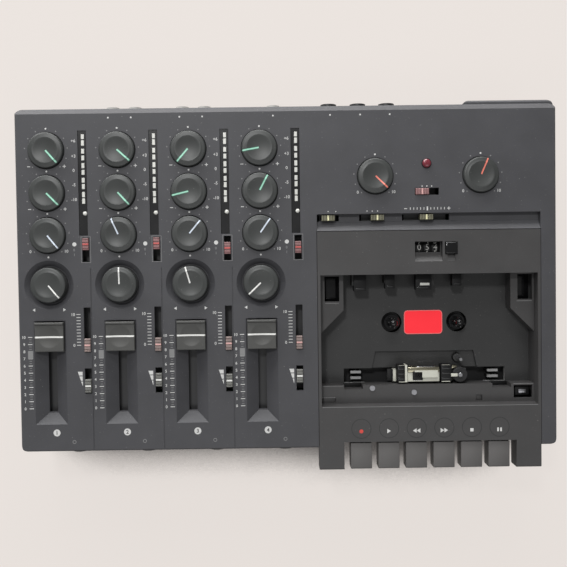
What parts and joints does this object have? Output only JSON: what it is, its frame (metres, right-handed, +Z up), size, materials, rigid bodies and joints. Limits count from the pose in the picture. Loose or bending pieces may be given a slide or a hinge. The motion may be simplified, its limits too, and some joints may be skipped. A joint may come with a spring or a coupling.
{
  "type": "four track cassette recorder",
  "caption": "Table top four track cassette recorder: a mixer with rotary tone controls, faders and level meters beside a cassette well with press keys.",
  "frame": {"origin": "on the table, under the middle of the whole object", "axes": "+X to the right, +Y to the rear, +Z up"},
  "size_m": [0.3384, 0.2336, 0.061],
  "materials": {
    "case_plastic": "fine moulded texture, dark grey",
    "cover_plastic": "fine moulded texture, warm dark grey",
    "deck_paint": "satin dark grey",
    "board_laminate": "green circuit board",
    "meter_lens": "smoked, glossy",
    "foot_rubber": "black rubber",
    "screw_steel": "zinc plated",
    "knob_plastic": "satin dark grey",
    "fader_plastic": "satin dark grey",
    "cap_plastic": "satin dark grey, ribbed",
    "key_plastic": "satin grey",
    "button_plastic": "black",
    "spindle_plastic": "glossy dark grey",
    "capstan_steel": "ground steel",
    "roller_rubber": "black rubber",
    "carriage_plastic": "cream moulded plastic"
  },
  "bodies": {
    "case": {"top_case": "case_plastic", "bottom_case": "case_plastic", "tape_cover": "cover_plastic", "tape_deck": "deck_paint", "main_board": "board_laminate", "level_meters": "meter_lens", "rubber_feet": "foot_rubber", "screws": "screw_steel"},
    "aux_return_knob": {"aux_return_knob": "knob_plastic"},
    "monitor_knob": {"monitor_knob": "knob_plastic"},
    "monitor_select": {"monitor_select": "cap_plastic"},
    "zero_stop_switch": {"zero_stop_switch": "cap_plastic"},
    "noise_switch": {"noise_switch": "cap_plastic"},
    "pitch_slider": {"pitch_slider": "cap_plastic"},
    "power_switch": {"power_switch": "button_plastic"},
    "reset_button": {"reset_button": "button_plastic"},
    "counter_wheels": {"counter_wheels": "button_plastic"},
    "supply_spindle": {"supply_spindle": "spindle_plastic"},
    "takeup_spindle": {"takeup_spindle": "spindle_plastic"},
    "capstan": {"capstan": "capstan_steel"},
    "head_carriage": {"head_carriage": "carriage_plastic"},
    "pinch_roller": {"pinch_roller": "roller_rubber"},
    "record_key": {"record_key": "key_plastic"},
    "play_key": {"play_key": "key_plastic"},
    "rewind_key": {"rewind_key": "key_plastic"},
    "forward_key": {"forward_key": "key_plastic"},
    "stop_key": {"stop_key": "key_plastic"},
    "pause_key": {"pause_key": "key_plastic"},
    "high_knob_1": {"high_knob_1": "knob_plastic"},
    "low_knob_1": {"low_knob_1": "knob_plastic"},
    "aux_knob_1": {"aux_knob_1": "knob_plastic"},
    "pan_knob_1": {"pan_knob_1": "knob_plastic"},
    "fader_1": {"fader_1": "fader_plastic"},
    "cue_slider_1": {"cue_slider_1": "cap_plastic"},
    "gain_slider_1": {"gain_slider_1": "cap_plastic"},
    "rec_select_1": {"rec_select_1": "cap_plastic"},
    "high_knob_2": {"high_knob_2": "knob_plastic"},
    "low_knob_2": {"low_knob_2": "knob_plastic"},
    "aux_knob_2": {"aux_knob_2": "knob_plastic"},
    "pan_knob_2": {"pan_knob_2": "knob_plastic"},
    "fader_2": {"fader_2": "fader_plastic"},
    "cue_slider_2": {"cue_slider_2": "cap_plastic"},
    "gain_slider_2": {"gain_slider_2": "cap_plastic"},
    "rec_select_2": {"rec_select_2": "cap_plastic"},
    "high_knob_3": {"high_knob_3": "knob_plastic"},
    "low_knob_3": {"low_knob_3": "knob_plastic"},
    "aux_knob_3": {"aux_knob_3": "knob_plastic"},
    "pan_knob_3": {"pan_knob_3": "knob_plastic"},
    "fader_3": {"fader_3": "fader_plastic"},
    "cue_slider_3": {"cue_slider_3": "cap_plastic"},
    "gain_slider_3": {"gain_slider_3": "cap_plastic"},
    "rec_select_3": {"rec_select_3": "cap_plastic"},
    "high_knob_4": {"high_knob_4": "knob_plastic"},
    "low_knob_4": {"low_knob_4": "knob_plastic"},
    "aux_knob_4": {"aux_knob_4": "knob_plastic"},
    "pan_knob_4": {"pan_knob_4": "knob_plastic"},
    "fader_4": {"fader_4": "fader_plastic"},
    "cue_slider_4": {"cue_slider_4": "cap_plastic"},
    "gain_slider_4": {"gain_slider_4": "cap_plastic"},
    "rec_select_4": {"rec_select_4": "cap_plastic"}
  },
  "joints": [
    {"name": "aux_return_knob_turn", "type": "hinge", "parent": "case", "child": "aux_return_knob", "pos_m": [0.0557, 0.0682, 0.058], "axis": [0, 0, 1], "range_deg": [-5, 275]},
    {"name": "monitor_knob_turn", "type": "hinge", "parent": "case", "child": "monitor_knob", "pos_m": [0.1219, 0.0682, 0.058], "axis": [0, 0, 1], "range_deg": [-118, 162]},
    {"name": "monitor_select_slide", "type": "slide", "parent": "case", "child": "monitor_select", "axis": [1, 0, 0], "range_m": [0, 0.006]},
    {"name": "zero_stop_slide", "type": "slide", "parent": "case", "child": "zero_stop_switch", "axis": [1, 0, 0], "range_m": [-0.0024, 0.0024]},
    {"name": "noise_slide", "type": "slide", "parent": "case", "child": "noise_switch", "axis": [1, 0, 0], "range_m": [-0.0066, 0]},
    {"name": "pitch_slide", "type": "slide", "parent": "case", "child": "pitch_slider", "axis": [1, 0, 0], "range_m": [-0.0104, 0.0104]},
    {"name": "power_push", "type": "slide", "parent": "case", "child": "power_switch", "axis": [0, -1, 0], "range_m": [0, 0.003], "stiffness_N_per_m": 300, "springref_m": -0.003},
    {"name": "reset_push", "type": "slide", "parent": "case", "child": "reset_button", "axis": [0, 0, -1], "range_m": [0, 0.0025], "stiffness_N_per_m": 300, "springref_m": -0.003},
    {"name": "counter_turn", "type": "hinge", "parent": "case", "child": "counter_wheels", "pos_m": [0.089, 0.02335, 0.0462], "axis": [1, 0, 0], "continuous": true},
    {"name": "supply_turn", "type": "hinge", "parent": "case", "child": "supply_spindle", "pos_m": [0.06785, -0.0252, 0.039], "axis": [0, 0, 1], "continuous": true},
    {"name": "takeup_turn", "type": "hinge", "parent": "case", "child": "takeup_spindle", "pos_m": [0.11035, -0.0252, 0.039], "axis": [0, 0, 1], "continuous": true},
    {"name": "capstan_turn", "type": "hinge", "parent": "case", "child": "capstan", "pos_m": [0.1104, -0.0488, 0.039], "axis": [0, 0, 1], "continuous": true},
    {"name": "carriage_slide", "type": "slide", "parent": "case", "child": "head_carriage", "axis": [0, 1, 0], "range_m": [0, 0.004]},
    {"name": "roller_turn", "type": "hinge", "parent": "head_carriage", "child": "pinch_roller", "pos_m": [0.1104, -0.0589, 0.044], "axis": [0, 0, 1], "continuous": true},
    {"name": "record_press", "type": "hinge", "parent": "case", "child": "record_key", "pos_m": [0.04537, -0.0751, 0.043], "axis": [1, 0, 0], "range_deg": [0, 7], "stiffness_Nm_per_rad": 0.3, "springref_deg": -11.46},
    {"name": "play_press", "type": "hinge", "parent": "case", "child": "play_key", "pos_m": [0.06287, -0.0751, 0.043], "axis": [1, 0, 0], "range_deg": [0, 7], "stiffness_Nm_per_rad": 0.3, "springref_deg": -11.46},
    {"name": "rewind_press", "type": "hinge", "parent": "case", "child": "rewind_key", "pos_m": [0.08035, -0.0751, 0.043], "axis": [1, 0, 0], "range_deg": [0, 7], "stiffness_Nm_per_rad": 0.3, "springref_deg": -11.46},
    {"name": "forward_press", "type": "hinge", "parent": "case", "child": "forward_key", "pos_m": [0.09785, -0.0751, 0.043], "axis": [1, 0, 0], "range_deg": [0, 7], "stiffness_Nm_per_rad": 0.3, "springref_deg": -11.46},
    {"name": "stop_press", "type": "hinge", "parent": "case", "child": "stop_key", "pos_m": [0.11533, -0.0751, 0.043], "axis": [1, 0, 0], "range_deg": [0, 7], "stiffness_Nm_per_rad": 0.3, "springref_deg": -11.46},
    {"name": "pause_press", "type": "hinge", "parent": "case", "child": "pause_key", "pos_m": [0.13282, -0.0751, 0.043], "axis": [1, 0, 0], "range_deg": [0, 7], "stiffness_Nm_per_rad": 0.3, "springref_deg": -11.46},
    {"name": "high_knob_1_turn", "type": "hinge", "parent": "case", "child": "high_knob_1", "pos_m": [-0.1498, 0.0867, 0.058], "axis": [0, 0, 1], "range_deg": [-2, 278]},
    {"name": "low_knob_1_turn", "type": "hinge", "parent": "case", "child": "low_knob_1", "pos_m": [-0.1498, 0.0601, 0.058], "axis": [0, 0, 1], "range_deg": [-5, 275]},
    {"name": "aux_knob_1_turn", "type": "hinge", "parent": "case", "child": "aux_knob_1", "pos_m": [-0.1498, 0.0337, 0.058], "axis": [0, 0, 1], "range_deg": [0, 280]},
    {"name": "pan_knob_1_turn", "type": "hinge", "parent": "case", "child": "pan_knob_1", "pos_m": [-0.1498, 0.0025, 0.058], "axis": [0, 0, 1], "range_deg": [-1, 279]},
    {"name": "fader_slide_1", "type": "slide", "parent": "case", "child": "fader_1", "axis": [0, 1, 0], "range_m": [-0.0451, 0]},
    {"name": "cue_slide_1", "type": "slide", "parent": "case", "child": "cue_slider_1", "axis": [0, 1, 0], "range_m": [0, 0.0192]},
    {"name": "gain_slide_1", "type": "slide", "parent": "case", "child": "gain_slider_1", "axis": [0, 1, 0], "range_m": [-0.0003, 0.0065]},
    {"name": "rec_select_slide_1", "type": "slide", "parent": "case", "child": "rec_select_1", "axis": [0, 1, 0], "range_m": [-0.007, 0]},
    {"name": "high_knob_2_turn", "type": "hinge", "parent": "case", "child": "high_knob_2", "pos_m": [-0.10542, 0.0867, 0.058], "axis": [0, 0, 1], "range_deg": [-8, 272]},
    {"name": "low_knob_2_turn", "type": "hinge", "parent": "case", "child": "low_knob_2", "pos_m": [-0.10542, 0.0601, 0.058], "axis": [0, 0, 1], "range_deg": [-3, 277]},
    {"name": "aux_knob_2_turn", "type": "hinge", "parent": "case", "child": "aux_knob_2", "pos_m": [-0.10542, 0.0337, 0.058], "axis": [0, 0, 1], "range_deg": [-163, 117]},
    {"name": "pan_knob_2_turn", "type": "hinge", "parent": "case", "child": "pan_knob_2", "pos_m": [-0.10542, 0.0025, 0.058], "axis": [0, 0, 1], "range_deg": [-140, 140]},
    {"name": "fader_slide_2", "type": "slide", "parent": "case", "child": "fader_2", "axis": [0, 1, 0], "range_m": [-0.0451, 0]},
    {"name": "cue_slide_2", "type": "slide", "parent": "case", "child": "cue_slider_2", "axis": [0, 1, 0], "range_m": [0, 0.0192]},
    {"name": "gain_slide_2", "type": "slide", "parent": "case", "child": "gain_slider_2", "axis": [0, 1, 0], "range_m": [-0.0036, 0.0032]},
    {"name": "rec_select_slide_2", "type": "slide", "parent": "case", "child": "rec_select_2", "axis": [0, 1, 0], "range_m": [-0.007, 0]},
    {"name": "high_knob_3_turn", "type": "hinge", "parent": "case", "child": "high_knob_3", "pos_m": [-0.06104, 0.0867, 0.058], "axis": [0, 0, 1], "range_deg": [-280, 0]},
    {"name": "low_knob_3_turn", "type": "hinge", "parent": "case", "child": "low_knob_3", "pos_m": [-0.06104, 0.0601, 0.058], "axis": [0, 0, 1], "range_deg": [-244, 36]},
    {"name": "aux_knob_3_turn", "type": "hinge", "parent": "case", "child": "aux_knob_3", "pos_m": [-0.06104, 0.0337, 0.058], "axis": [0, 0, 1], "range_deg": [-99.5, 180.5]},
    {"name": "pan_knob_3_turn", "type": "hinge", "parent": "case", "child": "pan_knob_3", "pos_m": [-0.06104, 0.0025, 0.058], "axis": [0, 0, 1], "range_deg": [-155.5, 124.5]},
    {"name": "fader_slide_3", "type": "slide", "parent": "case", "child": "fader_3", "axis": [0, 1, 0], "range_m": [-0.0451, 0]},
    {"name": "cue_slide_3", "type": "slide", "parent": "case", "child": "cue_slider_3", "axis": [0, 1, 0], "range_m": [0, 0.0192]},
    {"name": "gain_slide_3", "type": "slide", "parent": "case", "child": "gain_slider_3", "axis": [0, 1, 0], "range_m": [-0.0025, 0.0043]},
    {"name": "rec_select_slide_3", "type": "slide", "parent": "case", "child": "rec_select_3", "axis": [0, 1, 0], "range_m": [-0.0035, 0.0035]},
    {"name": "high_knob_4_turn", "type": "hinge", "parent": "case", "child": "high_knob_4", "pos_m": [-0.01666, 0.0867, 0.058], "axis": [0, 0, 1], "range_deg": [-240.5, 39.5]},
    {"name": "low_knob_4_turn", "type": "hinge", "parent": "case", "child": "low_knob_4", "pos_m": [-0.01666, 0.0601, 0.058], "axis": [0, 0, 1], "range_deg": [-112, 168]},
    {"name": "aux_knob_4_turn", "type": "hinge", "parent": "case", "child": "aux_knob_4", "pos_m": [-0.01666, 0.0337, 0.058], "axis": [0, 0, 1], "range_deg": [-104.5, 175.5]},
    {"name": "pan_knob_4_turn", "type": "hinge", "parent": "case", "child": "pan_knob_4", "pos_m": [-0.01666, 0.0025, 0.058], "axis": [0, 0, 1], "range_deg": [-273.5, 6.5]},
    {"name": "fader_slide_4", "type": "slide", "parent": "case", "child": "fader_4", "axis": [0, 1, 0], "range_m": [-0.0451, 0]},
    {"name": "cue_slide_4", "type": "slide", "parent": "case", "child": "cue_slider_4", "axis": [0, 1, 0], "range_m": [0, 0.0192]},
    {"name": "gain_slide_4", "type": "slide", "parent": "case", "child": "gain_slider_4", "axis": [0, 1, 0], "range_m": [-0.0048, 0.002]},
    {"name": "rec_select_slide_4", "type": "slide", "parent": "case", "child": "rec_select_4", "axis": [0, 1, 0], "range_m": [-0.0035, 0.0035]}
  ],
  "couplings": [
    {"joint": "carriage_slide", "follows": "play_press", "m_per_rad": 0.0327},
    {"joint": "counter_turn", "follows": "takeup_turn", "ratio": 0.1}
  ]
}
